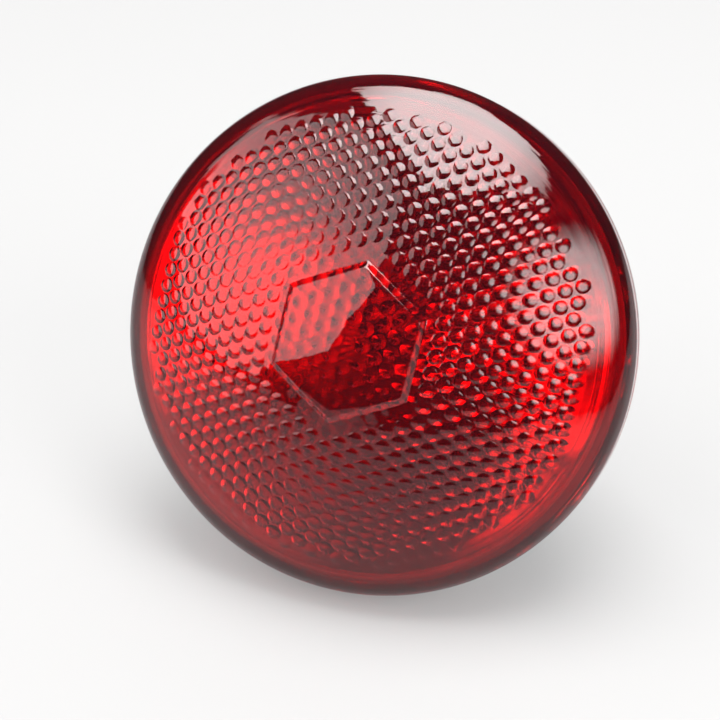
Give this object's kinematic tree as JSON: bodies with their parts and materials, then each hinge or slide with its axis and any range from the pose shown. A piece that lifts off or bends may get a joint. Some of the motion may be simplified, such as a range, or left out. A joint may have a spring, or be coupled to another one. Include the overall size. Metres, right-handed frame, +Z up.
{
  "type": "reflector heat lamp",
  "caption": "Sealed infrared heat lamp with a domed red glass lens covered in small lenslets, a raised hexagon, a silvered parabolic glass bowl and a skirted screw cap.",
  "frame": {"origin": "on the bench under the middle of the lamp's bounding box, with the lamp lying on the back corner of its rim and on its screw shell", "axes": "+Z up. -Y is the way the lens faces, seen from above: the lamp's axis runs from cap to lens towards -Y and rises by 26.96 degrees, the tilt at which the lamp lies. +X is to the right of a viewer who faces the lens."},
  "size_m": [0.121, 0.1322, 0.1123],
  "materials": {
    "red_glass": "pressed red borosilicate glass with a relief of small round lenslets",
    "clear_glass": "pressed clear borosilicate glass, fire polished",
    "silvering": "evaporated aluminium film",
    "tungsten": "drawn tungsten coil",
    "skirt_aluminium": "spun aluminium",
    "nickelled_brass": "rolled brass shell with nickel plating",
    "black_glass": "black vitreous glass, glossy",
    "contact_brass": "punched brass disc",
    "solder": "tin solder, slightly dull",
    "lead_wire": "copper lead wire",
    "cement": "basing cement",
    "ferrule_alloy": "nickel-iron sealing alloy",
    "post_nickel": "nickel-plated steel wire and strip",
    "molybdenum": "molybdenum wire"
  },
  "bodies": {
    "root": {"front_lens": "red_glass", "reflector_bowl": "clear_glass", "mirror_film": "silvering", "exhaust_tip": "clear_glass", "filament": "tungsten", "support_bridge": "clear_glass", "skirt": "skirt_aluminium", "screw_shell": "nickelled_brass", "base_insulator": "black_glass", "centre_contact": "contact_brass", "contact_solder": "solder", "centre_lead": "lead_wire", "side_lead": "lead_wire", "side_joint": "solder", "basing_cement": "cement", "lead_ferrule_left": "ferrule_alloy", "lead_ferrule_right": "ferrule_alloy", "lead_post_left": "post_nickel", "lead_post_right": "post_nickel", "filament_clamp_left": "post_nickel", "filament_clamp_right": "post_nickel", "filament_hook_1": "molybdenum", "filament_hook_2": "molybdenum", "filament_hook_3": "molybdenum"}
  },
  "joints": []
}
